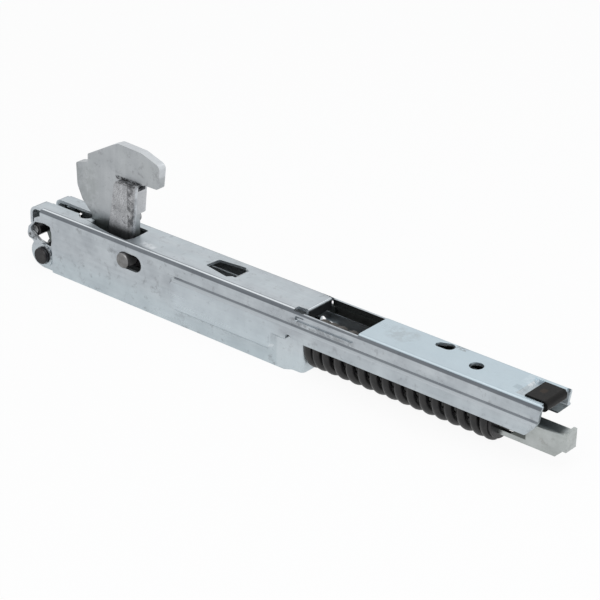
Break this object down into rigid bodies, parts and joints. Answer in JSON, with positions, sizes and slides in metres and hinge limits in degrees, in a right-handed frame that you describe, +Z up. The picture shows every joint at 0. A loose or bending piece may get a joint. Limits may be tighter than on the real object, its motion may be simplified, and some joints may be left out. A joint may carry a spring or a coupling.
{
  "type": "oven door hinge",
  "caption": "Spring-loaded oven door hinge: folded sheet channel with a swinging hook arm, flip-over lock lever, coil spring on a tie rod and a black end cap.",
  "frame": {"origin": "middle of the whole hinge's bounding box, on the plane of the housing's bottom edges", "axes": "+X along the hinge from the hook to the free end of the tie rod, +Y across it to the far wall, +Z up through the web towards the hook"},
  "size_m": [0.247, 0.021, 0.0597],
  "materials": {
    "zinc_sheet": "zinc-plated, bluish, lightly stained",
    "arm_steel": "zinc-plated plate, satin",
    "lever_steel": "granular zinc on folded steel",
    "rod_zinc": "zinc-plated, pale",
    "spring_black": "black, satin",
    "spring_bright": "plain spring wire, oiled",
    "pin_steel": "turned steel, satin",
    "dark_pin": "greased dark steel",
    "black_plastic": "black, satin"
  },
  "bodies": {
    "housing": {"channel": "zinc_sheet", "end_cap": "black_plastic", "pivot_rivet": "dark_pin", "spacer_near": "dark_pin", "spacer_far": "dark_pin", "main_spring": "spring_black", "detent_spring": "spring_bright"},
    "arm": {"hook_arm": "arm_steel", "arm_bush": "dark_pin", "stop_pin": "pin_steel", "stop_sleeve_near": "dark_pin", "stop_sleeve_far": "dark_pin", "rod_pin": "pin_steel", "lever_rivet": "pin_steel"},
    "lever": {"lock_lever": "lever_steel"},
    "rod": {"tie_rod": "rod_zinc", "spring_seat": "pin_steel"},
    "detent": {"detent_pin": "pin_steel", "detent_slider": "pin_steel"}
  },
  "joints": [
    {"name": "arm_swing", "type": "hinge", "parent": "housing", "child": "arm", "pos_m": [-0.1147, 0, 0.0055], "axis": [0, -1, 0], "range_deg": [0, 90]},
    {"name": "rod_slide", "type": "slide", "parent": "housing", "child": "rod", "axis": [-1, 0, 0], "range_m": [0, 0.00919], "deforming": ["main_spring"]},
    {"name": "lever_flip", "type": "hinge", "parent": "arm", "child": "lever", "pos_m": [-0.0747, 0, 0.031], "axis": [0, 1, 0], "range_deg": [0, 90]},
    {"name": "detent_slide", "type": "slide", "parent": "housing", "child": "detent", "axis": [1, 0, 0], "range_m": [0, 0.0054], "stiffness_N_per_m": 800, "springref_m": -0.001, "deforming": ["detent_spring"]}
  ],
  "couplings": [
    {"joint": "rod_slide", "follows": "arm_swing", "m_per_rad": 0.0058521}
  ]
}
